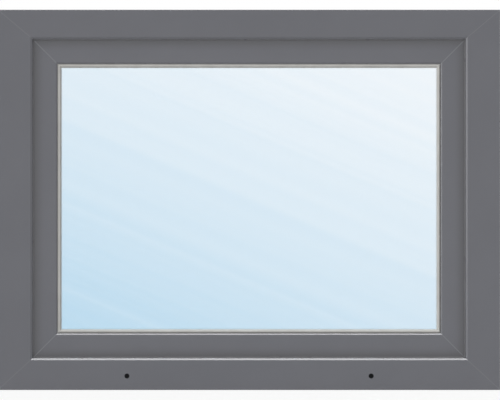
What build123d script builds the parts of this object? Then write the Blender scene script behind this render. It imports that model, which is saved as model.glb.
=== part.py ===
from build123d import *
from collections import namedtuple
import os

# A PVC casement window with a hinged sash, seen from outside by looking along +Y.
# Millimetres, +Z up. The origin is under the middle of the sill, half way through the frame's depth.

# Whole window
WIDTH = 1004.0
HEIGHT = 760.0
FRAME_DEPTH = 70.0
JAMB_FACE = 65.0
HEAD_FACE = 54.5
SILL_FACE = 59.5

# Extruded PVC: outer walls, webs between chambers, rounding of the edges
WALL = 2.8
WEB = 1.8
EDGE_ROUND = 1.2

# Outer frame: the leg that stands in front of the sash, and the rebate behind it
BEVEL_WIDTH = 4.0
BEVEL_DEPTH = 3.2
LEG_THICKNESS = 14.5
LEG_HEIGHT = 22.0
FRAME_CHAMBERS = 4

# Anchor grooves round the outside of the frame
ANCHOR_GROOVES = 2
ANCHOR_PITCH = 26.0
ANCHOR_MOUTH = 8.0
ANCHOR_FLOOR = 11.0
ANCHOR_DEPTH = 3.0

# Drainage of the sill: round outlets in the face, slots in the rebate floor
OUTLET_DIAMETER = 10.0
OUTLET_SPACING = 488.0
OUTLET_HEIGHT = 28.0
SLOT_LENGTH = 30.0
SLOT_WIDTH = 5.0
SLOT_SPACING = 620.0

# Seals: thickness where they are squeezed, stem that holds them in their groove
SEAL_GAP = 3.0
STEM_WIDTH = 2.4
STEM_DEPTH = 3.0
STEM_PLAY = 0.2
FRAME_SEAL_WIDTH = 9.0
FRAME_SEAL_PROUD = 2.0
SASH_SEAL_WIDTH = 6.0
SASH_SEAL_INSET = 4.0

# Sash: visible face from the frame's sight line, air in the rebate, lap over the frame on the room side
SASH_FACE = 53.0
REBATE_AIR = 12.0
LAP = 8.0
LAP_THICKNESS = 14.5
LAP_ROUND = 4.0
LIP_BEVEL = 3.0
LIP_BEVEL_DEPTH = 2.4
LIP_THICKNESS = 11.0
LIP_HEIGHT = 23.0
LOCK_GROOVE_WIDTH = 12.0
LOCK_GROOVE_DEPTH = 9.0
LOCK_GROOVE_FROM_LAP = 16.5

# Double glazing
PANE = 4.0
CAVITY = 16.0
GLASS_PLAY = 5.0
SPACER_HEIGHT = 7.0
EDGE_SEAL = 4.5
BLOCK_LENGTH = 100.0
BLOCK_FROM_CORNER = 120.0
BULB_WIDTH = 7.6
BULB_SLOPE = 4.6
BULB_ROUND = 1.5
BULB_SET_BACK = 0.5
BULB_PLAY = 0.2
PAD_WIDTH = 7.0

# Glazing bead on the room side
BEAD_HEIGHT = 21.0
BEAD_TIP = 3.0
BEAD_SHOULDER = 7.0
BEAD_SET_BACK = 4.0
BEAD_BULGE = 3.0
BEAD_FOOT_WIDTH = 3.0
BEAD_FOOT_DEPTH = 3.5
BEAD_FOOT_PLACE = 10.0
BEAD_FOOT_PLAY = 0.3
BEAD_SEAL_WIDTH = 7.0

# Handle on the sash
BACKSET = 15.0
ROSETTE_WIDTH = 30.0
ROSETTE_LENGTH = 66.0
ROSETTE_THICKNESS = 10.0
ROSETTE_CORNER = 9.0
ROSETTE_BEVEL = 2.0
COLLAR_DIAMETER = 20.0
COLLAR_LENGTH = 3.0
NECK_DIAMETER = 15.0
GRIP_STAND_OFF = 38.0
GRIP_LENGTH = 121.0
GRIP_TOP_WIDTH = 21.0
GRIP_END_WIDTH = 17.0
GRIP_THICKNESS = 13.0
GRIP_ROUND = 4.0
GRIP_BEVEL = 2.0

# Corner hinges on the room side
KNUCKLE_DIAMETER = 16.0
KNUCKLE_GAP = 0.3
KNUCKLE_CLEARANCE = 1.0
KNUCKLE_BEVEL = 1.2
BEARING_KNUCKLE = 22.0
ARM_KNUCKLE = 38.0
HINGE_FROM_LAP = 9.0
HINGE_AXIS_DEPTH = 12.0
BEARING_WIDTH = 26.0
BEARING_THICKNESS = 5.0
ARM_REACH = 26.0
ARM_THICKNESS = 3.0
PLATE_ROUND = 4.0
HINGE_PIN_DIAMETER = 7.0
HINGE_PIN_PLAY = 0.05
HINGE_PIN_LENGTH = 18.0

# Places in the section. "In" runs from the frame's sight line towards the glass,
# and depth runs from the outside face of the frame into the room.
OUTSIDE_Y = -FRAME_DEPTH / 2
SIGHT_WIDTH = WIDTH - 2 * JAMB_FACE
SIGHT_HEIGHT = HEIGHT - HEAD_FACE - SILL_FACE
MIDDLE_Z = SILL_FACE + SIGHT_HEIGHT / 2
REBATE_FLOOR = BEVEL_WIDTH - LEG_HEIGHT
SASH_EDGE = REBATE_FLOOR + REBATE_AIR
LAP_EDGE = REBATE_FLOOR - LAP
SASH_FRONT = LEG_THICKNESS + SEAL_GAP
LIP_BACK = SASH_FRONT + LIP_THICKNESS
LAP_FRONT = FRAME_DEPTH + SEAL_GAP
SASH_BACK = LAP_FRONT + LAP_THICKNESS
GLASS_FLOOR = SASH_FACE - LIP_HEIGHT
GLASS_EDGE = GLASS_FLOOR + GLASS_PLAY
GLASS_FRONT = LIP_BACK + SEAL_GAP
GLASS_BACK = GLASS_FRONT + 2 * PANE + CAVITY
BEAD_FRONT = GLASS_BACK + SEAL_GAP
BEAD_BACK = SASH_BACK - BEAD_SET_BACK
LOCK_GROOVE_MIDDLE = LAP_FRONT - LOCK_GROOVE_FROM_LAP
FOOT_MIDDLE = BEAD_FRONT + BEAD_FOOT_PLACE
HANDLE_IN = SASH_EDGE + BACKSET

# The frame's four sides: which way is in, which way it runs, the faces before, on and after it
Side = namedtuple("Side", "name inward along span half_length start_face face end_face")
RIGHT = Vector(1, 0, 0)
UP = Vector(0, 0, 1)
HALF_X = SIGHT_WIDTH / 2
HALF_Z = SIGHT_HEIGHT / 2
SIDES = [
    Side("left", RIGHT, UP, HALF_X, HALF_Z, SILL_FACE, JAMB_FACE, HEAD_FACE),
    Side("right", -RIGHT, -UP, HALF_X, HALF_Z, HEAD_FACE, JAMB_FACE, SILL_FACE),
    Side("top", -UP, RIGHT, HALF_Z, HALF_X, JAMB_FACE, HEAD_FACE, JAMB_FACE),
    Side("bottom", UP, -RIGHT, HALF_Z, HALF_X, JAMB_FACE, SILL_FACE, JAMB_FACE),
]
ALONG_DEPTH = Vector(0, 1, 0)


def sight_line(side):
    """Middle of one side's sight line, on the outside face."""
    return Vector(0, OUTSIDE_Y, MIDDLE_Z) - side.inward * side.span


def section_plane(side):
    """Sketch plane across one side: x runs in, y runs along the depth."""
    return Plane(sight_line(side), x_dir=side.inward, z_dir=side.along)


def face_plane(side):
    """Sketch plane on the outside face: x runs along the side, y runs in."""
    return Plane(sight_line(side), x_dir=side.along, z_dir=ALONG_DEPTH)


def room_plane(depth):
    """Sketch plane at a depth, seen from the room: x to the right, y up, from the window's middle."""
    return Plane((0, OUTSIDE_Y + depth, MIDDLE_Z), x_dir=(-1, 0, 0), z_dir=ALONG_DEPTH)


def mitre_outline(side, out, start_growth, end_growth, reach):
    """Front outline of a mitred bar: out past the sight line, and reaching in towards the glass."""
    end = side.half_length
    with BuildSketch(face_plane(side)) as outline:
        Polygon(
            (-end - start_growth, -out),
            (end + end_growth, -out),
            (end, 0),
            (end - reach, reach),
            (reach - end, reach),
            (-end, 0),
            align=None,
        )
    return outline.sketch


def mitred_bar(name, side, section, outline):
    """A section run along one side and cut to its mitred outline."""
    with BuildPart() as bar:
        extrude(section, amount=side.half_length + max(side.start_face, side.end_face), both=True)
        extrude(outline, amount=SASH_BACK, mode=Mode.INTERSECT)
    bar.part.label = name
    return bar.part


def sash_outline(side):
    """Mitres of what belongs to the sash, at 45 degrees all the way."""
    return mitre_outline(side, -LAP_EDGE, -LAP_EDGE, -LAP_EDGE, SASH_FACE + LIP_HEIGHT)


def write(part):
    export_step(part, f"parts/{part.label}.step")


# Outer frame: four mitred and welded bars of one hollow section
def frame_section(side):
    anchor_offset = ANCHOR_PITCH * (ANCHOR_GROOVES - 1) / 2
    chamber_out = -side.face + ANCHOR_DEPTH + WALL
    chamber_width = REBATE_FLOOR - WALL - chamber_out
    chamber_pitch = (FRAME_DEPTH - 2 * WALL + WEB) / FRAME_CHAMBERS
    leg_chamber_end = BEVEL_WIDTH - 2 * STEM_WIDTH - WALL
    with BuildSketch(section_plane(side)) as section:
        with BuildLine():
            Polyline(
                (-side.face, 0),
                (0, 0),
                (BEVEL_WIDTH, BEVEL_DEPTH),
                (BEVEL_WIDTH, LEG_THICKNESS),
                (REBATE_FLOOR, LEG_THICKNESS),
                (REBATE_FLOOR, FRAME_DEPTH),
                (-side.face, FRAME_DEPTH),
                close=True,
            )
        make_face()
        fillet(section.vertices(), radius=EDGE_ROUND)
        with Locations((-side.face, FRAME_DEPTH / 2)):
            with GridLocations(0, ANCHOR_PITCH, 1, ANCHOR_GROOVES):
                Polygon(
                    (0, -ANCHOR_MOUTH / 2),
                    (ANCHOR_DEPTH, -ANCHOR_FLOOR / 2),
                    (ANCHOR_DEPTH, ANCHOR_FLOOR / 2),
                    (0, ANCHOR_MOUTH / 2),
                    align=None,
                    mode=Mode.SUBTRACT,
                )
        with Locations((chamber_out + chamber_width / 2, FRAME_DEPTH / 2)):
            with GridLocations(0, chamber_pitch, 1, FRAME_CHAMBERS):
                Rectangle(chamber_width, chamber_pitch - WEB, mode=Mode.SUBTRACT)
        with Locations((REBATE_FLOOR, WALL)):
            Rectangle(
                leg_chamber_end - REBATE_FLOOR,
                LEG_THICKNESS - 2 * WALL,
                align=Align.MIN,
                mode=Mode.SUBTRACT,
            )
        with Locations((BEVEL_WIDTH - STEM_WIDTH, LEG_THICKNESS)):
            Rectangle(STEM_WIDTH, STEM_DEPTH, align=(Align.CENTER, Align.MAX), mode=Mode.SUBTRACT)
    return section.sketch


def frame_bar(name, side):
    outline = mitre_outline(side, side.face, side.start_face, side.end_face, LEG_HEIGHT)
    return mitred_bar(name, side, frame_section(side), outline)


def drained(bar, side):
    """The sill with its drainage: slots from the rebate to the front chamber, outlets in the face."""
    chamber_depth = WALL + (FRAME_DEPTH - 2 * WALL + WEB) / FRAME_CHAMBERS - WEB
    with BuildPart() as sill:
        add(bar)
        with BuildSketch(face_plane(side)):
            with Locations((0, OUTLET_HEIGHT - side.face)):
                with GridLocations(OUTLET_SPACING, 0, 2, 1):
                    Circle(OUTLET_DIAMETER / 2)
        extrude(amount=chamber_depth / 2, mode=Mode.SUBTRACT)
        with BuildSketch(face_plane(side).offset(chamber_depth - SLOT_WIDTH)):
            with Locations((0, REBATE_FLOOR)):
                with GridLocations(SLOT_SPACING, 0, 2, 1):
                    Rectangle(SLOT_LENGTH, 4 * WALL)
        extrude(amount=SLOT_WIDTH, mode=Mode.SUBTRACT)
    sill.part.label = bar.label
    return sill.part


# Seals are soft profiles with a stem pushed into a groove
def frame_seal_section(side):
    seal_end = BEVEL_WIDTH + FRAME_SEAL_PROUD
    with BuildSketch(section_plane(side)) as section:
        with Locations((seal_end - FRAME_SEAL_WIDTH / 2, LEG_THICKNESS + SEAL_GAP / 2)):
            SlotOverall(FRAME_SEAL_WIDTH, SEAL_GAP)
        with Locations((BEVEL_WIDTH - STEM_WIDTH, LEG_THICKNESS + SEAL_GAP / 2)):
            Rectangle(
                STEM_WIDTH - 2 * STEM_PLAY,
                STEM_DEPTH + SEAL_GAP / 2 - STEM_PLAY,
                align=(Align.CENTER, Align.MAX),
            )
    return section.sketch


def sash_seal_section(side):
    middle = LAP_EDGE + SASH_SEAL_INSET
    with BuildSketch(section_plane(side)) as section:
        with Locations((middle, LAP_FRONT - SEAL_GAP / 2)):
            Rectangle(SASH_SEAL_WIDTH, SEAL_GAP)
            Rectangle(
                STEM_WIDTH - 2 * STEM_PLAY,
                STEM_DEPTH + SEAL_GAP / 2 - STEM_PLAY,
                align=(Align.CENTER, Align.MIN),
            )
    return section.sketch


# Sash: four mitred and welded bars that hold the glass
def sash_section(side):
    lock_floor = SASH_EDGE + LOCK_GROOVE_DEPTH
    lock_low = LOCK_GROOVE_MIDDLE - LOCK_GROOVE_WIDTH / 2
    lock_high = LOCK_GROOVE_MIDDLE + LOCK_GROOVE_WIDTH / 2
    front_low = SASH_FRONT + WALL
    front_high = LIP_BACK
    body_high = GLASS_FLOOR - BEAD_FOOT_DEPTH - WALL
    chambers = [
        (SASH_EDGE + WALL, GLASS_FLOOR - WALL, front_low, front_high),
        (SASH_EDGE + WALL, GLASS_FLOOR - WALL, front_high + WEB, lock_low - WALL),
        (lock_floor + WALL, body_high, lock_low - WALL + WEB, lock_high + WALL - WEB),
        (SASH_EDGE + WALL, body_high, lock_high + WALL, LAP_FRONT),
        (LAP_EDGE + SASH_SEAL_INSET + STEM_WIDTH + WALL, GLASS_FLOOR - WALL, LAP_FRONT + WEB, SASH_BACK - WALL),
        (GLASS_FLOOR, SASH_FACE - LIP_BEVEL - 2 * STEM_WIDTH - WEB, front_low, LIP_BACK - WALL),
    ]
    with BuildSketch(section_plane(side)) as section:
        with BuildLine():
            Polyline(
                (SASH_EDGE, SASH_FRONT),
                (SASH_FACE - LIP_BEVEL, SASH_FRONT),
                (SASH_FACE, SASH_FRONT + LIP_BEVEL_DEPTH),
                (SASH_FACE, LIP_BACK),
                (GLASS_FLOOR, LIP_BACK),
                (GLASS_FLOOR, SASH_BACK),
                (LAP_EDGE, SASH_BACK),
                (LAP_EDGE, LAP_FRONT),
                (SASH_EDGE, LAP_FRONT),
                close=True,
            )
        make_face()
        lap_corners = section.vertices().group_by(Axis.X)[0]
        room_corner = lap_corners.sort_by(Axis.Y)[-1]
        fillet(room_corner, radius=LAP_ROUND)
        fillet(section.vertices().filter_by_position(Axis.X, SASH_EDGE, SASH_FACE), radius=EDGE_ROUND)
        with Locations((SASH_EDGE, LOCK_GROOVE_MIDDLE)):
            Rectangle(LOCK_GROOVE_DEPTH, LOCK_GROOVE_WIDTH, align=(Align.MIN, Align.CENTER), mode=Mode.SUBTRACT)
        with Locations((GLASS_FLOOR, FOOT_MIDDLE)):
            Rectangle(BEAD_FOOT_DEPTH, BEAD_FOOT_WIDTH, align=(Align.MAX, Align.CENTER), mode=Mode.SUBTRACT)
        with Locations((SASH_FACE - LIP_BEVEL - STEM_WIDTH, LIP_BACK)):
            Rectangle(STEM_WIDTH, STEM_DEPTH, align=(Align.CENTER, Align.MAX), mode=Mode.SUBTRACT)
        with Locations((LAP_EDGE + SASH_SEAL_INSET, LAP_FRONT)):
            Rectangle(STEM_WIDTH, STEM_DEPTH, align=(Align.CENTER, Align.MIN), mode=Mode.SUBTRACT)
        for low_in, high_in, low_depth, high_depth in chambers:
            with Locations((low_in, low_depth)):
                Rectangle(high_in - low_in, high_depth - low_depth, align=Align.MIN, mode=Mode.SUBTRACT)
    return section.sketch


# Glazing seals: a bulb with sloping flanks against the outer pane, a flat pad against the inner one
def glazing_seal_section(side):
    bulb_start = SASH_FACE + BULB_PLAY
    bulb_in = bulb_start + BULB_WIDTH / 2
    bulb_end = bulb_start + BULB_WIDTH
    ridge = SASH_FRONT + BULB_SET_BACK
    shoulder = ridge + BULB_SLOPE
    with BuildSketch(section_plane(side)) as section:
        with BuildLine():
            Polyline(
                (bulb_start, GLASS_FRONT),
                (bulb_start, shoulder),
                (bulb_in, ridge),
                (bulb_end, shoulder),
                (bulb_end, GLASS_FRONT),
                close=True,
            )
        make_face()
        fillet(section.vertices().sort_by(Axis.Y)[0], radius=BULB_ROUND)
        with Locations((bulb_in, LIP_BACK)):
            Rectangle(PAD_WIDTH + BULB_WIDTH / 2, SEAL_GAP, align=(Align.MAX, Align.MIN))
        with Locations((SASH_FACE - LIP_BEVEL - STEM_WIDTH, LIP_BACK + SEAL_GAP / 2)):
            Rectangle(
                STEM_WIDTH - 2 * STEM_PLAY,
                STEM_DEPTH + SEAL_GAP / 2 - STEM_PLAY,
                align=(Align.CENTER, Align.MAX),
            )
    return section.sketch


def bead_seal_section(side):
    seal_end = GLASS_FLOOR + BEAD_HEIGHT
    with BuildSketch(section_plane(side)) as section:
        with Locations((seal_end - BEAD_SEAL_WIDTH / 2, GLASS_BACK + SEAL_GAP / 2)):
            Rectangle(BEAD_SEAL_WIDTH, SEAL_GAP)
        chamfer(section.vertices().group_by(Axis.X)[-1].sort_by(Axis.Y)[-1], length=SEAL_GAP / 2)
    return section.sketch


# Glazing beads clip into the sash on the room side
def bead_section(side):
    tip_in = GLASS_FLOOR + BEAD_HEIGHT
    shoulder_in = GLASS_FLOOR + BEAD_SHOULDER
    with BuildSketch(section_plane(side)) as section:
        with BuildLine():
            Polyline(
                (shoulder_in, BEAD_BACK),
                (GLASS_FLOOR, BEAD_BACK),
                (GLASS_FLOOR, BEAD_FRONT),
                (tip_in, BEAD_FRONT),
                (tip_in, BEAD_FRONT + BEAD_TIP),
            )
            SagittaArc((tip_in, BEAD_FRONT + BEAD_TIP), (shoulder_in, BEAD_BACK), BEAD_BULGE)
        make_face()
        with Locations((GLASS_FLOOR, FOOT_MIDDLE)):
            Rectangle(
                BEAD_FOOT_DEPTH - BEAD_FOOT_PLAY,
                BEAD_FOOT_WIDTH - 2 * BEAD_FOOT_PLAY,
                align=(Align.MAX, Align.CENTER),
            )
        with Locations((GLASS_FLOOR + WEB, BEAD_FRONT + WEB)):
            Rectangle(
                BEAD_SHOULDER - WEB,
                BEAD_BACK - BEAD_FRONT - 2 * WEB,
                align=Align.MIN,
                mode=Mode.SUBTRACT,
            )
    return section.sketch


# Double glazing: two panes on a spacer, with a sealed edge
def pane(name, depth):
    with BuildPart() as sheet:
        with BuildSketch(room_plane(depth)):
            Rectangle(SIGHT_WIDTH - 2 * GLASS_EDGE, SIGHT_HEIGHT - 2 * GLASS_EDGE)
        extrude(amount=PANE)
    sheet.part.label = name
    return sheet.part


def edge_ring(name, outer_in, inner_in):
    """A ring that fills the cavity between the panes."""
    with BuildPart() as ring:
        with BuildSketch(room_plane(GLASS_FRONT + PANE)):
            Rectangle(SIGHT_WIDTH - 2 * outer_in, SIGHT_HEIGHT - 2 * outer_in)
            Rectangle(SIGHT_WIDTH - 2 * inner_in, SIGHT_HEIGHT - 2 * inner_in, mode=Mode.SUBTRACT)
        extrude(amount=CAVITY)
    ring.part.label = name
    return ring.part


def glazing_blocks(name):
    """Blocks that carry and centre the glass in the sash, two on each side."""
    with BuildPart() as blocks:
        for side in SIDES:
            with BuildSketch(face_plane(side).offset(GLASS_FRONT)):
                with Locations((0, GLASS_FLOOR)):
                    with GridLocations(2 * (side.half_length - BLOCK_FROM_CORNER), 0, 2, 1):
                        Rectangle(BLOCK_LENGTH, GLASS_PLAY, align=(Align.CENTER, Align.MIN))
            extrude(amount=GLASS_BACK - GLASS_FRONT)
    blocks.part.label = name
    return blocks.part


# Handle on the right stile, as seen from outside, pointing down when the sash is locked
def handle_place(height):
    return (HANDLE_IN - SIGHT_WIDTH / 2, height)


def handle_rosette(name):
    with BuildPart() as rosette:
        with BuildSketch(room_plane(SASH_BACK)):
            with Locations(handle_place(0)):
                RectangleRounded(ROSETTE_WIDTH, ROSETTE_LENGTH, ROSETTE_CORNER)
        extrude(amount=ROSETTE_THICKNESS)
        chamfer(rosette.faces().sort_by(Axis.Y)[-1].edges(), length=ROSETTE_BEVEL)
    rosette.part.label = name
    return rosette.part


def handle_grip(name):
    with BuildPart() as grip:
        with BuildSketch(room_plane(SASH_BACK + GRIP_STAND_OFF)):
            with Locations(handle_place(0)):
                Circle(GRIP_TOP_WIDTH / 2)
            with Locations(handle_place(GRIP_END_WIDTH / 2 - GRIP_LENGTH)):
                Circle(GRIP_END_WIDTH / 2)
            make_hull()
        extrude(amount=GRIP_THICKNESS)
        fillet(grip.faces().sort_by(Axis.Y)[-1].edges(), radius=GRIP_ROUND)
        chamfer(grip.faces().sort_by(Axis.Y)[0].edges(), length=GRIP_BEVEL)
        with BuildSketch(room_plane(SASH_BACK + ROSETTE_THICKNESS)):
            with Locations(handle_place(0)):
                Circle(COLLAR_DIAMETER / 2)
        extrude(amount=COLLAR_LENGTH)
        with BuildSketch(room_plane(SASH_BACK + ROSETTE_THICKNESS + COLLAR_LENGTH)):
            with Locations(handle_place(0)):
                Circle(NECK_DIAMETER / 2)
        extrude(amount=GRIP_STAND_OFF + GRIP_THICKNESS / 2 - ROSETTE_THICKNESS - COLLAR_LENGTH)
    grip.part.label = name
    return grip.part


# Corner hinges on the left stile, as seen from outside, the upper one a mirror of the lower
HINGE_X = SIGHT_WIDTH / 2 - LAP_EDGE + KNUCKLE_CLEARANCE + KNUCKLE_DIAMETER / 2
HINGE_Y = OUTSIDE_Y + FRAME_DEPTH + HINGE_AXIS_DEPTH
HINGE_FOOT_Z = SILL_FACE + LAP_EDGE + HINGE_FROM_LAP


def upright(part, upper):
    """The lower hinge's part, or its mirror image at the upper corner."""
    return part.mirror(Plane((0, 0, MIDDLE_Z))) if upper else part


def hinge_bearing(name, upper):
    with BuildPart() as bearing:
        with BuildSketch(Plane((-HINGE_X, HINGE_Y, HINGE_FOOT_Z))):
            Circle(KNUCKLE_DIAMETER / 2)
        extrude(amount=BEARING_KNUCKLE)
        chamfer(bearing.edges().group_by(Axis.Z)[0], length=KNUCKLE_BEVEL)
        with BuildSketch(room_plane(FRAME_DEPTH)):
            with Locations((HINGE_X - KNUCKLE_DIAMETER / 2, HINGE_FOOT_Z - MIDDLE_Z)):
                RectangleRounded(BEARING_WIDTH, BEARING_KNUCKLE, PLATE_ROUND, align=Align.MIN)
        extrude(amount=BEARING_THICKNESS)
        with BuildSketch(Plane((-HINGE_X, HINGE_Y, HINGE_FOOT_Z + BEARING_KNUCKLE))):
            Circle(HINGE_PIN_DIAMETER / 2)
        extrude(amount=HINGE_PIN_LENGTH)
    part = upright(bearing.part, upper)
    part.label = name
    return part


def hinge_arm(name, upper):
    foot_z = HINGE_FOOT_Z + BEARING_KNUCKLE + KNUCKLE_GAP
    with BuildPart() as arm:
        with BuildSketch(Plane((-HINGE_X, HINGE_Y, foot_z))):
            Circle(KNUCKLE_DIAMETER / 2)
        extrude(amount=ARM_KNUCKLE)
        chamfer(arm.edges().group_by(Axis.Z)[-1], length=KNUCKLE_BEVEL)
        with BuildSketch(room_plane(SASH_BACK)) as plate:
            with Locations((HINGE_X, foot_z - MIDDLE_Z)):
                Rectangle(KNUCKLE_DIAMETER / 2 + ARM_REACH, ARM_KNUCKLE, align=(Align.MAX, Align.MIN))
            fillet(plate.vertices().group_by(Axis.X)[0], radius=PLATE_ROUND)
        extrude(amount=ARM_THICKNESS)
        with BuildSketch(Plane((-HINGE_X, HINGE_Y, foot_z))):
            Circle(HINGE_PIN_DIAMETER / 2 + HINGE_PIN_PLAY)
        extrude(amount=HINGE_PIN_LENGTH, mode=Mode.SUBTRACT)
    part = upright(arm.part, upper)
    part.label = name
    return part


os.makedirs("parts", exist_ok=True)

FRAME_NAMES = {"left": "frame_left_jamb", "right": "frame_right_jamb", "top": "frame_head", "bottom": "frame_sill"}
SASH_NAMES = {
    "left": "sash_left_stile",
    "right": "sash_right_stile",
    "top": "sash_top_rail",
    "bottom": "sash_bottom_rail",
}

for side in SIDES:
    bar = frame_bar(FRAME_NAMES[side.name], side)
    write(drained(bar, side) if side.name == "bottom" else bar)
    write(mitred_bar(SASH_NAMES[side.name], side, sash_section(side), sash_outline(side)))
    write(mitred_bar(f"frame_seal_{side.name}", side, frame_seal_section(side), sash_outline(side)))
    write(mitred_bar(f"sash_seal_{side.name}", side, sash_seal_section(side), sash_outline(side)))
    write(mitred_bar(f"glazing_seal_{side.name}", side, glazing_seal_section(side), sash_outline(side)))
    write(mitred_bar(f"glazing_bead_{side.name}", side, bead_section(side), sash_outline(side)))
    write(mitred_bar(f"bead_seal_{side.name}", side, bead_seal_section(side), sash_outline(side)))

write(pane("outer_pane", GLASS_FRONT))
write(pane("inner_pane", GLASS_BACK - PANE))
write(edge_ring("edge_seal", GLASS_EDGE, GLASS_EDGE + EDGE_SEAL))
write(edge_ring("glass_spacer", GLASS_EDGE + EDGE_SEAL, GLASS_EDGE + EDGE_SEAL + SPACER_HEIGHT))
write(glazing_blocks("glazing_blocks"))
write(handle_rosette("handle_rosette"))
write(handle_grip("handle_grip"))
for place, upper in (("lower", False), ("upper", True)):
    write(hinge_bearing(f"{place}_hinge_bearing", upper))
    write(hinge_arm(f"{place}_hinge_arm", upper))
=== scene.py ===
import math

import bmesh
import bpy
from mathutils import Matrix, Vector


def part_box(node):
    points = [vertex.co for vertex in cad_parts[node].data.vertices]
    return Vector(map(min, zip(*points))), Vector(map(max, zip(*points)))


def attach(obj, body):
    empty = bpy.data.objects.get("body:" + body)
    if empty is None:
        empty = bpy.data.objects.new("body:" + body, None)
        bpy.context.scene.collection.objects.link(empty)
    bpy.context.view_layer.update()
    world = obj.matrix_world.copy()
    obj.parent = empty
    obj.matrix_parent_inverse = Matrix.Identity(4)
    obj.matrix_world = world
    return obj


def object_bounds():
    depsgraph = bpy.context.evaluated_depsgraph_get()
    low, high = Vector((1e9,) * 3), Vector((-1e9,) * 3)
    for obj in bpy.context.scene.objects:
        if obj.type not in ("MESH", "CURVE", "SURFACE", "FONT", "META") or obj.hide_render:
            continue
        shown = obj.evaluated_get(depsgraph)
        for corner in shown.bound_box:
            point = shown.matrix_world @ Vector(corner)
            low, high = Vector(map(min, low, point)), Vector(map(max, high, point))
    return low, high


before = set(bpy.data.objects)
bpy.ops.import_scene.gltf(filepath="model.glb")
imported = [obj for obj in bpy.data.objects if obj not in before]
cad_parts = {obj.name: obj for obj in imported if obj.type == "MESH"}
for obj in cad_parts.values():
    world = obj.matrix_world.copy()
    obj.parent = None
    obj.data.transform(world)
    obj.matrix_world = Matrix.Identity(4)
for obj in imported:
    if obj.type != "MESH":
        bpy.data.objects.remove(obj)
cad_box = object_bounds()


# Outer frame: four hollow PVC bars, cut to a mitre at the corners and welded.
# A satin grey foil covers them, and the cleaned welds show as thin lighter lines.
# The sill's two round outlets open into its front chamber, where the bare core is
# drawn dark as painted shade.
class Wire:
    """One socket of a finish. Sums on it add Math nodes, and make() adds any other node."""

    def __init__(self, tree, socket=None):
        self.tree = tree
        self.socket = socket

    def make(self, kind, settings, sockets, output=0):
        node = self.tree.nodes.new("ShaderNode" + kind)
        for name, value in settings.items():
            setattr(node, name, value)
        for name, value in sockets.items():
            if isinstance(value, Wire):
                self.tree.links.new(value.socket, node.inputs[name])
            else:
                node.inputs[name].default_value = value
        return Wire(self.tree, node.outputs[output])

    def work(self, operation, first, second=0.0):
        return self.make("Math", {"operation": operation}, {0: first, 1: second})

    def __add__(self, other):
        return self.work("ADD", self, other)

    __radd__ = __add__

    def __sub__(self, other):
        return self.work("SUBTRACT", self, other)

    def __rsub__(self, other):
        return self.work("SUBTRACT", other, self)

    def __mul__(self, other):
        return self.work("MULTIPLY", self, other)

    __rmul__ = __mul__

    def __truediv__(self, other):
        return self.work("DIVIDE", self, other)

    def __mod__(self, other):
        return self.work("FLOORED_MODULO", self, other)

    def __abs__(self):
        return self.work("ABSOLUTE", self)

    def larger(self, other):
        return self.work("MAXIMUM", self, other)

    def smaller(self, other):
        return self.work("MINIMUM", self, other)

    def axis(self, number):
        """One coordinate of a place."""
        return self.make("SeparateXYZ", {}, {0: self}, number)

    def ramp(self, low, high):
        """0 below low, 1 above high, smooth between."""
        sockets = {"Value": self, "From Min": low, "From Max": high}
        return self.make("MapRange", {"interpolation_type": "SMOOTHSTEP"}, sockets)

    def between(self, low, high, soft):
        """1 from low to high and 0 beyond, with soft ends."""
        return self.ramp(low - soft, low) * (1 - self.ramp(high, high + soft))

    def patches(self, per_metre, detail=3.0, low=0.3, high=0.7):
        """Soft patches over a place, from 0 to 1, about so many to the metre."""
        noise = self.make("TexNoise", {}, {"Vector": self, "Scale": per_metre, "Detail": detail})
        return noise.ramp(low, high)

    def tint(self, first, second):
        """From the first colour at 0 to the second at 1."""
        return self.make("Mix", {"data_type": "RGBA"}, {0: self, 6: first, 7: second}, 2)

    def relief(self, strength):
        """Heights in metres, as a normal."""
        return self.make("Bump", {}, {"Strength": strength, "Distance": 1.0, "Height": self})

    def feed(self, shader, name):
        self.tree.links.new(self.socket, shader.inputs[name])


def finish(name):
    """A new material: its shader, and a wire with the piece's own coordinates."""
    material = bpy.data.materials.new(name)
    material.use_nodes = True
    tree = material.node_tree
    place = Wire(tree).make("TexCoord", {}, {}, "Object")
    return material, tree.nodes["Principled BSDF"], place


def srgb(red, green, blue):
    """A colour as a screen shows it, made linear."""
    linear = []
    for value in (red, green, blue):
        share = value / 255
        linear.append(share / 12.92 if share <= 0.04045 else ((share + 0.055) / 1.055) ** 2.4)
    return (*linear, 1.0)


def dress(material, *names):
    for name in names:
        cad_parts[name].material_slots[0].material = material


# The sight line is where a bar's flat face ends and its bevel starts.
BEVEL = 0.004
sill_low, sill_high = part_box("frame_sill")
head_low, head_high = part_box("frame_head")
jamb_low, jamb_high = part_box("frame_left_jamb")
SILL_FACE = sill_high.z - sill_low.z - BEVEL
HEAD_FACE = head_high.z - head_low.z - BEVEL
JAMB_FACE = jamb_high.x - jamb_low.x - BEVEL
MIDDLE_Z = (sill_high.z + head_low.z) / 2
SIGHT_X = BEVEL - jamb_high.x
SIGHT_Z = head_low.z + BEVEL - MIDDLE_Z
SASH_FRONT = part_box("sash_left_stile")[0].y

# Inside the sill's walls its core is bare, and drawn dark there as painted shade.
CORE_HALF_DEPTH = 0.0325
CORE_HALF_WIDTH = 0.45
CORE_LOW = 0.0043
CORE_BELOW_SIGHT = 0.0193
CORE_HIGH = SILL_FACE - CORE_BELOW_SIGHT
SOFT_END = 0.0005

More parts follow.
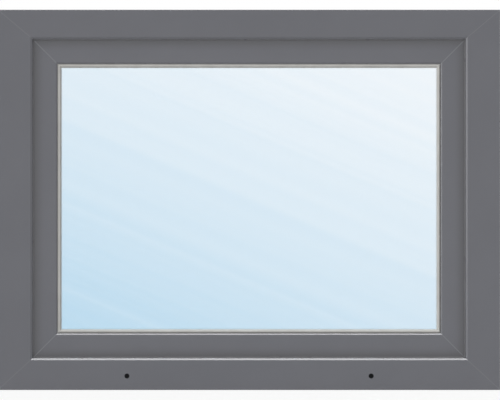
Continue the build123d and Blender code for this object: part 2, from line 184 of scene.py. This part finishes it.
WELD_WIDTH = 0.0006
WELD_FADE = 0.0008
WELD_DIP = 0.0003
GRAIN_RISE = 0.00004
GRAIN_STRENGTH = 0.1
FOIL_PATCHES = 9.0
FOIL_GRAIN = 1800.0
FOIL_ROUGHNESS = 0.23
PATCH_DULLING = 0.01
GRAIN_DULLING = 0.02
CORE_ROUGHNESS = 0.9
FRAME_SHADES = srgb(105, 106, 112), srgb(107, 108, 114)
FRAME_WELD = srgb(115, 116, 121)
CORE_PAINTED_SHADE = srgb(45, 46, 50)
# Painted shade: the sash's face is drawn darker within this reach of the frame's leg.
PAINTED_SHADE_MARGIN = srgb(100, 100, 103)
PAINTED_SHADE_REACH = 0.028


def grey_foil(name, shades, seam, run, head_rise, sill_rise, painted_shade=0.0):
    """Foil with a seam from each corner of the sight line, which rises by so much over its run.

    The face behind the frame's leg takes the given share of painted shade beside the leg.
    """
    material, shader, place = finish(name)
    across, depth, height = place.axis(0), place.axis(1), place.axis(2)
    up = height - MIDDLE_Z
    rise = sill_rise + up.ramp(-SOFT_END, SOFT_END) * (head_rise - sill_rise)
    beyond_x = abs(across) - SIGHT_X
    beyond_z = abs(up) - SIGHT_Z
    off_weld = abs(beyond_x * rise - beyond_z * run) / math.hypot(run, head_rise)
    weld = 1 - off_weld.ramp(WELD_WIDTH / 2, WELD_WIDTH / 2 + WELD_FADE)
    # Painted shade: the face behind the leg darkens towards the frame's leg.
    shade_beside_leg = beyond_x.larger(beyond_z).ramp(-PAINTED_SHADE_REACH, -BEVEL)
    on_sash_face = 1 - depth.ramp(SASH_FRONT, SASH_FRONT + SOFT_END)
    patches = place.patches(FOIL_PATCHES)
    grain = place.patches(FOIL_GRAIN)
    foil = (shade_beside_leg * on_sash_face * painted_shade).tint(patches.tint(*shades), PAINTED_SHADE_MARGIN)
    skin = weld.tint(foil, seam)
    # Painted shade: the bare core inside the sill's chamber is drawn dark.
    in_shaded_core = (
        depth.between(-CORE_HALF_DEPTH, CORE_HALF_DEPTH, SOFT_END)
        * height.between(CORE_LOW, CORE_HIGH, SOFT_END)
        * across.between(-CORE_HALF_WIDTH, CORE_HALF_WIDTH, SOFT_END)
    )
    in_shaded_core.tint(skin, CORE_PAINTED_SHADE).feed(shader, "Base Color")
    satin = FOIL_ROUGHNESS + patches * PATCH_DULLING + grain * GRAIN_DULLING
    (satin + in_shaded_core * (CORE_ROUGHNESS - FOIL_ROUGHNESS)).feed(shader, "Roughness")
    (grain * GRAIN_RISE - weld * WELD_DIP).relief(GRAIN_STRENGTH).feed(shader, "Normal")
    return material


frame_foil = grey_foil("frame_foil", FRAME_SHADES, FRAME_WELD, JAMB_FACE, HEAD_FACE, SILL_FACE)
dress(frame_foil, "frame_head", "frame_sill", "frame_left_jamb", "frame_right_jamb")


# Frame and sash seals: extruded grey rubber strips, pushed by a stem into grooves
# of the frame's leg and of the sash's lap. Only a thin edge shows outside.
RUBBER_BLOOM = 40.0
BLOOM_DULLING = 0.08
RUBBER_GRAIN = 2200.0
RUBBER_RISE = 0.00005
RUBBER_STRENGTH = 0.1


def rubber(name, dark, light, roughness):
    """Extruded rubber or plastic: a faint bloom, and a fine grain from the die."""
    material, shader, place = finish(name)
    bloom = place.patches(RUBBER_BLOOM)
    bloom.tint(dark, light).feed(shader, "Base Color")
    (roughness + bloom * BLOOM_DULLING).feed(shader, "Roughness")
    (place.patches(RUBBER_GRAIN) * RUBBER_RISE).relief(RUBBER_STRENGTH).feed(shader, "Normal")
    return material


SIDES = ("left", "right", "top", "bottom")
grey_rubber = rubber("grey_rubber", srgb(104, 104, 107), srgb(110, 110, 113), roughness=0.27)
for side in SIDES:
    dress(grey_rubber, f"frame_seal_{side}", f"sash_seal_{side}")


# Sash: four hollow bars in the same foil, mitred at 45 degrees and welded, set back
# behind the frame's leg. A bevelled lip holds the glass from outside. The foil is drawn
# darker beside the leg as painted shade, which deepens the soft shade of that corner.
# Painted light: the sash's foil is drawn a little lighter than the frame's, to brighten the middle of
# its face.
SASH_LIT_SHADES = srgb(108, 109, 115), srgb(110, 111, 117)
SASH_WELD = srgb(127, 128, 133)
# Share of painted shade beside the frame's leg.
SASH_PAINTED_SHADE = 0.85
EVEN_MITRE = (JAMB_FACE, JAMB_FACE, JAMB_FACE)
sash_foil = grey_foil("sash_foil", SASH_LIT_SHADES, SASH_WELD, *EVEN_MITRE, painted_shade=SASH_PAINTED_SHADE)
dress(sash_foil, "sash_left_stile", "sash_right_stile", "sash_top_rail", "sash_bottom_rail")


# Glazing seals: light warm-grey rubber, a wedge against the outer pane and a flat
# strip against the inner one, running round the glass with mitred corners.
pale_rubber = rubber("pale_rubber", srgb(192, 191, 187), srgb(200, 199, 195), roughness=0.5)
for side in SIDES:
    dress(pale_rubber, f"glazing_seal_{side}", f"bead_seal_{side}")


# Double glazing: two sheets of float glass on a perforated aluminium spacer, sealed
# round the edge and carried on plastic blocks. The outer sheet has a pale blue cast
# and a painted sky reflection that clears it towards the upper right, with faint
# slanting bands of painted reflection.
# Painted sky reflection on the glass: how its colour clears across the pane, and its bands.
REFLECTION_ACROSS = 2.04
REFLECTION_UP = 0.845
REFLECTION_MIDDLE = 0.535
REFLECTION_CURVE = 0.3
REFLECTION_BAND_SLOPE = math.radians(23)
REFLECTION_BANDS_PER_METRE = 30.0
REFLECTION_BAND_DETAIL = 2.0
REFLECTION_BAND_MIDDLE = 0.5
GLASS_IOR = 1.5


def float_glass(name, deep, clear, reflection_bands):
    """Clear glass with a tint and a painted reflection, from deep at the lower left to clear at the
    upper right.
    """
    material, shader, place = finish(name)
    # Painted reflection: the colour drifts across the pane and along slanting bands.
    across, up = place.axis(0), place.axis(2) - MIDDLE_Z
    slant = across * math.sin(REFLECTION_BAND_SLOPE) + up * math.cos(REFLECTION_BAND_SLOPE)
    reflection_band_sockets = {"W": slant, "Scale": REFLECTION_BANDS_PER_METRE, "Detail": REFLECTION_BAND_DETAIL}
    reflection_band = place.make("TexNoise", {"noise_dimensions": "1D"}, reflection_band_sockets)
    rise = across / REFLECTION_ACROSS + up / REFLECTION_UP + (reflection_band - REFLECTION_BAND_MIDDLE) * reflection_bands
    (REFLECTION_MIDDLE + rise - rise * rise * REFLECTION_CURVE).tint(deep, clear).feed(shader, "Base Color")
    shader.inputs["Transmission Weight"].default_value = 1.0
    shader.inputs["Roughness"].default_value = 0.0
    shader.inputs["IOR"].default_value = GLASS_IOR
    return material


outer_glass = float_glass("outer_float_glass", srgb(195, 224, 243), srgb(245, 249, 253), reflection_bands=0.26)
inner_glass = float_glass("inner_float_glass", srgb(247, 250, 250), srgb(252, 253, 253), reflection_bands=0.0)
dress(outer_glass, "outer_pane")
dress(inner_glass, "inner_pane")

SPACER_HEIGHT = 0.007
SPACER_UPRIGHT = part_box("glass_spacer")[1].x - SPACER_HEIGHT - SOFT_END
CAVITY_MIDDLE = (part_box("outer_pane")[1].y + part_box("inner_pane")[0].y) / 2
PERFORATION_PITCH = 0.006
PERFORATION_RADIUS = 0.0007
PERFORATION_RIM = (0.7, 1.3)
PERFORATION_SHADE = srgb(30, 30, 32)
PERFORATION_DULLING = 0.4
SPACER_SHADES = srgb(178, 179, 181), srgb(186, 187, 189)
SPACER_ROUGHNESS = 0.36
DRAWN_MARKS = 300.0
DRAWN_DULLING = 0.08


def perforated_metal(name):
    """Drawn aluminium with a row of small holes along the middle of the cavity, painted as dark spots
    of shade.
    """
    material, shader, place = finish(name)
    across, up = place.axis(0), place.axis(2)
    upright = abs(across).ramp(SPACER_UPRIGHT, SPACER_UPRIGHT + SOFT_END)
    along = across + upright * (up - across)
    from_hole = abs(along % PERFORATION_PITCH - PERFORATION_PITCH / 2)
    off_row = abs(place.axis(1) - CAVITY_MIDDLE)
    away = (from_hole * from_hole + off_row * off_row) / PERFORATION_RADIUS**2
    # Painted shade: each hole is a dark spot, not an opening.
    hole = 1 - away.ramp(*PERFORATION_RIM)
    drawn = place.patches(DRAWN_MARKS)
    hole.tint(drawn.tint(*SPACER_SHADES), PERFORATION_SHADE).feed(shader, "Base Color")
    satin = SPACER_ROUGHNESS + drawn * DRAWN_DULLING
    (satin + hole * PERFORATION_DULLING).feed(shader, "Roughness")
    (1 - hole).feed(shader, "Metallic")
    return material


dress(perforated_metal("spacer_metal"), "glass_spacer")
edge_sealant = rubber("edge_sealant", srgb(30, 30, 31), srgb(38, 38, 39), roughness=0.55)
block_plastic = rubber("block_plastic", srgb(48, 96, 72), srgb(56, 106, 80), roughness=0.42)
dress(edge_sealant, "edge_seal")
dress(block_plastic, "glazing_blocks")


# Glazing beads: hollow foiled strips that clip into the sash on the room side and
# press the inner seal against the glass. Their mitred ends meet in a fine dark joint.
BEAD_JOINT = srgb(62, 63, 66)
# The beads take the sash's lighter shades, drawn as painted light.
bead_foil = grey_foil("bead_foil", SASH_LIT_SHADES, BEAD_JOINT, *EVEN_MITRE)
for side in SIDES:
    dress(bead_foil, f"glazing_bead_{side}")


# Handle and hinges: die-cast metal with a satin silver-grey coat, screwed to the
# sash and the frame on the room side.
COAT_PATCHES = 25.0
COAT_PEEL = 900.0
PEEL_DULLING = 0.06
COAT_RISE = 0.00004
COAT_STRENGTH = 0.1
COAT_METALLIC = 0.8


def satin_metal(name, dark, light, roughness):
    """A thin metallic coat with slight peel."""
    material, shader, place = finish(name)
    peel = place.patches(COAT_PEEL)
    place.patches(COAT_PATCHES).tint(dark, light).feed(shader, "Base Color")
    (roughness + peel * PEEL_DULLING).feed(shader, "Roughness")
    shader.inputs["Metallic"].default_value = COAT_METALLIC
    (peel * COAT_RISE).relief(COAT_STRENGTH).feed(shader, "Normal")
    return material


CORNERS = ("lower", "upper")
silver_coat = satin_metal("silver_coat", srgb(160, 161, 163), srgb(168, 169, 171), roughness=0.34)
dress(silver_coat, "handle_rosette", "handle_grip")
for corner in CORNERS:
    dress(silver_coat, f"{corner}_hinge_bearing", f"{corner}_hinge_arm")


# Hinge screws: countersunk zinc-plated heads with a six-lobed drive, two through
# each arm into the sash and two through each bearing plate into the frame.
SCREW_SIDES = 24
LOBES = 6

# Shares of a head's radius.
HEAD_TOP = 0.88
HEAD_HEIGHT = 0.3
RIM_WIDTH = 0.32
RECESS_DEPTH = 0.28

# Flutes between the lobes come in to this share of the recess.
FLUTE_SHARE = 0.72


def screw_heads(name, spots, radius, metal):
    """Heads that face the room at each spot, sunk into their plate but for a low rim."""
    shape = bmesh.new()
    facing_room = Matrix.Rotation(math.radians(-90), 4, "X")
    for spot in spots:
        head = bmesh.ops.create_cone(
            shape,
            cap_ends=True,
            segments=SCREW_SIDES,
            radius1=radius,
            radius2=radius * HEAD_TOP,
            depth=radius * HEAD_HEIGHT,
            matrix=Matrix.Translation(spot) @ facing_room,
        )
        faces = {face for point in head["verts"] for face in point.link_faces}
        top = max(faces, key=lambda face: face.calc_center_median().y)
        bmesh.ops.inset_region(shape, faces=[top], thickness=radius * RIM_WIDTH)
        step = SCREW_SIDES // LOBES
        flutes = [point for number, point in enumerate(top.verts) if number % step < step / 2]
        middle = Matrix.Translation(-top.calc_center_median())
        bmesh.ops.scale(shape, vec=(FLUTE_SHARE, 1.0, FLUTE_SHARE), space=middle, verts=flutes)
        recess = bmesh.ops.extrude_discrete_faces(shape, faces=[top])["faces"][0]
        sunk = (0.0, -radius * RECESS_DEPTH, 0.0)
        bmesh.ops.translate(shape, vec=sunk, verts=recess.verts[:])
    mesh = bpy.data.meshes.new(name)
    shape.to_mesh(mesh)
    shape.free()
    mesh.materials.append(metal)
    heads = bpy.data.objects.new(name, mesh)
    bpy.context.scene.collection.objects.link(heads)
    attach(heads, "root")


zinc_plate = satin_metal("zinc_plate", srgb(182, 183, 184), srgb(196, 197, 198), roughness=0.26)
ARM_SCREW = 0.003
ARM_SCREW_FROM_EDGE = 0.0085
ARM_SCREW_FROM_END = 0.012
PLATE_SCREW = 0.0026
PLATE_SCREW_FROM_EDGE = 0.005
PLATE_THICKNESS = 0.005
PLATE_HEIGHT = 0.022
for corner in CORNERS:
    low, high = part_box(f"{corner}_hinge_arm")
    screw_x = high.x - ARM_SCREW_FROM_END
    heights = (low.z + ARM_SCREW_FROM_EDGE, high.z - ARM_SCREW_FROM_EDGE)
    spots = [Vector((screw_x, high.y, z)) for z in heights]
    screw_heads(f"{corner}_arm_screws", spots, ARM_SCREW, zinc_plate)

    low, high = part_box(f"{corner}_hinge_bearing")
    plate_low = low.z if corner == "lower" else high.z - PLATE_HEIGHT
    plate_high = plate_low + PLATE_HEIGHT
    screw_x = low.x + PLATE_SCREW_FROM_EDGE
    heights = (plate_low + PLATE_SCREW_FROM_EDGE, plate_high - PLATE_SCREW_FROM_EDGE)
    spots = [Vector((screw_x, low.y + PLATE_THICKNESS, z)) for z in heights]
    screw_heads(f"{corner}_bearing_screws", spots, PLATE_SCREW, zinc_plate)


# Studio: a pale floor that keeps a soft shadow close to the window and is white
# farther off, an even sky, a broad key from the upper left, and two soft boxes
# that draw the lights along the bevels.
def seen_by_eye(start):
    """1 on rays to the eye, also by reflection or through glass, and 0 where they light a matt face."""
    eye, shine, through, matt = (
        start.make("LightPath", {}, {}, name)
        for name in ("Is Camera Ray", "Is Glossy Ray", "Is Transmission Ray", "Diffuse Depth")
    )
    return eye.larger(shine).larger(through) * (1 - matt.smaller(1.0))


WHITE = (1.0, 1.0, 1.0, 1.0)
FLOOR_RADIUS = 14.0
FLOOR_SIDES = 96
FLOOR_PATCHES = 30.0
FLOOR_SHADES = srgb(242, 242, 242), srgb(245, 245, 245)
FLOOR_ROUGHNESS = 0.9
FLOOR_SHINE = 0.1
SHADOW_NEAR = 0.6
SHADOW_FAR = 2.2
WHITE_NEAR = 0.85

floor_paint, floor_shader, floor_place = finish("floor_paint")
floor_place.patches(FLOOR_PATCHES).tint(*FLOOR_SHADES).feed(floor_shader, "Base Color")
floor_shader.inputs["Roughness"].default_value = FLOOR_ROUGHNESS
floor_shader.inputs["Specular IOR Level"].default_value = FLOOR_SHINE
distance = floor_place.make("VectorMath", {"operation": "LENGTH"}, {0: floor_place}, "Value")
white_share = WHITE_NEAR + distance.ramp(SHADOW_NEAR, SHADOW_FAR) * (1 - WHITE_NEAR)
white = floor_place.make("Emission", {}, {"Color": WHITE, "Strength": 1.0})
painted = Wire(floor_place.tree, floor_shader.outputs[0])
mixed = floor_place.make(
    "MixShader", {}, {0: seen_by_eye(floor_place) * white_share, 1: painted, 2: white}
)
mixed.feed(floor_place.tree.nodes["Material Output"], "Surface")

disc = bmesh.new()
bmesh.ops.create_circle(disc, cap_ends=True, segments=FLOOR_SIDES, radius=FLOOR_RADIUS)
floor_mesh = bpy.data.meshes.new("floor")
disc.to_mesh(floor_mesh)
disc.free()
floor_mesh.materials.append(floor_paint)
floor = bpy.data.objects.new("floor", floor_mesh)
bpy.context.scene.collection.objects.link(floor)

SKY_LIGHT = 0.55
world = bpy.data.worlds.new("studio")
bpy.context.scene.world = world
world.use_nodes = True
background = world.node_tree.nodes["Background"]
background.inputs["Color"].default_value = WHITE
sky_strength = SKY_LIGHT + seen_by_eye(Wire(world.node_tree)) * (1 - SKY_LIGHT)
sky_strength.feed(background, "Strength")


def soft_box(name, spot, width, height, radiance):
    """A rectangular lamp that faces the window and shows only as a shine on it."""
    lamp = bpy.data.lights.new(name, "AREA")
    lamp.shape = "RECTANGLE"
    lamp.size = width
    lamp.size_y = height
    lamp.energy = radiance * math.pi * width * height
    holder = bpy.data.objects.new(name, lamp)
    holder.location = spot
    to_window = Vector((0.0, 0.0, MIDDLE_Z)) - spot
    holder.rotation_euler = to_window.to_track_quat("-Z", "Y").to_euler()
    holder.visible_diffuse = False
    bpy.context.scene.collection.objects.link(holder)


soft_box("top_box", spot=Vector((0.0, -1.35, 6.0)), width=2.9, height=2.1, radiance=11.0)
soft_box("left_box", spot=Vector((-6.0, -1.35, 0.38)), width=2.1, height=2.7, radiance=3.0)

# The key is as even as a very wide source, so it casts no shadow of its own.
KEY_STRENGTH = 1.2
KEY_SPREAD = math.radians(30)
KEY_RAYS = Vector((0.55, 0.5, -0.67))
key = bpy.data.lights.new("key", "SUN")
key.energy = KEY_STRENGTH
key.angle = KEY_SPREAD
key.use_shadow = False
key_holder = bpy.data.objects.new("key", key)
key_holder.rotation_euler = KEY_RAYS.to_track_quat("-Z", "Y").to_euler()
bpy.context.scene.collection.objects.link(key_holder)


# Camera: square to the front from far off, with nearly one metre of the front face
# across the picture, so that the left border cuts a little off the left jamb.
LENS = 250.0
SENSOR = 36.0
VIEW_WIDTH = 0.999
VIEW_MIDDLE = (0.0019, 0.3797)
camera = bpy.data.cameras.new("camera")
camera.lens = LENS
camera.sensor_width = SENSOR
camera.clip_end = 100.0
eye = bpy.data.objects.new("camera", camera)
eye.location = (VIEW_MIDDLE[0], cad_box[0].y - VIEW_WIDTH * LENS / SENSOR, VIEW_MIDDLE[1])
eye.rotation_euler = (math.radians(90), 0.0, 0.0)
bpy.context.scene.collection.objects.link(eye)
bpy.context.scene.camera = eye
bpy.context.scene.view_settings.view_transform = "Standard"
